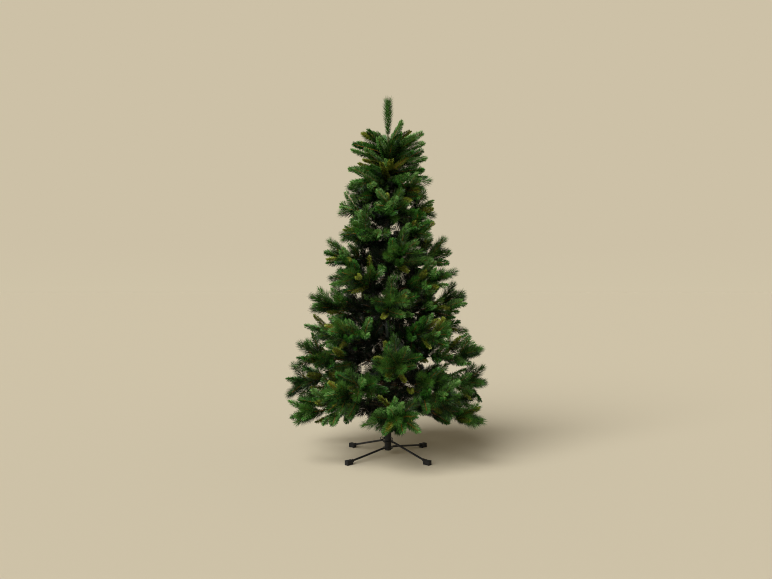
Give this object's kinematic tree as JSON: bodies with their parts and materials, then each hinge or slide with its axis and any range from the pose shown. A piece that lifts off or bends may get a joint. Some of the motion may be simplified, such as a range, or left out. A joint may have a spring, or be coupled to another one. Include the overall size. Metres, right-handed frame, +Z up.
{
  "type": "artificial christmas tree",
  "caption": "Undecorated artificial Christmas tree: a cone of wired needle branches in tiers on a steel pole, held upright in a crossed metal floor stand.",
  "frame": {"origin": "on the floor, under the axis of the pole", "axes": "+Z up along the pole, -Y towards the viewer, +X to the viewer's right"},
  "size_m": [1.0047, 1.0032, 1.8],
  "materials": {
    "pole_paint": "satin dark green paint",
    "black_paint": "satin black paint",
    "zinc": "dark plated steel",
    "foot_rubber": "matt black",
    "needles": "matt green plastic needles on twisted wire"
  },
  "bodies": {
    "root": {"pole": "pole_paint", "stand_socket": "black_paint", "stand_upper_bar": "black_paint", "stand_lower_bar": "black_paint", "eye_bolt_1": "zinc", "eye_bolt_2": "zinc", "eye_bolt_3": "zinc", "foot_upper_1": "foot_rubber", "foot_upper_2": "foot_rubber", "foot_lower_1": "foot_rubber", "foot_lower_2": "foot_rubber", "foot_garland": "needles", "tier_01_branch_1": "needles", "tier_01_branch_2": "needles", "tier_01_branch_3": "needles", "tier_01_branch_4": "needles", "tier_01_branch_5": "needles", "tier_01_branch_6": "needles", "tier_02_branch_1": "needles", "tier_02_branch_2": "needles", "tier_02_branch_3": "needles", "tier_02_branch_4": "needles", "tier_02_branch_5": "needles", "tier_02_branch_6": "needles", "tier_03_branch_1": "needles", "tier_03_branch_2": "needles", "tier_03_branch_3": "needles", "tier_03_branch_4": "needles", "tier_03_branch_5": "needles", "tier_04_branch_1": "needles", "tier_04_branch_2": "needles", "tier_04_branch_3": "needles", "tier_04_branch_4": "needles", "tier_04_branch_5": "needles", "tier_05_branch_1": "needles", "tier_05_branch_2": "needles", "tier_05_branch_3": "needles", "tier_05_branch_4": "needles", "tier_05_branch_5": "needles", "tier_06_branch_1": "needles", "tier_06_branch_2": "needles", "tier_06_branch_3": "needles", "tier_06_branch_4": "needles", "tier_07_branch_1": "needles", "tier_07_branch_2": "needles", "tier_07_branch_3": "needles", "tier_07_branch_4": "needles", "tier_08_branch_1": "needles", "tier_08_branch_2": "needles", "tier_08_branch_3": "needles", "tier_08_branch_4": "needles", "tier_09_branch_1": "needles", "tier_09_branch_2": "needles", "tier_09_branch_3": "needles", "tier_09_branch_4": "needles", "tier_10_branch_1": "needles", "tier_10_branch_2": "needles", "tier_10_branch_3": "needles", "tier_10_branch_4": "needles", "crown_top": "needles"}
  },
  "joints": []
}
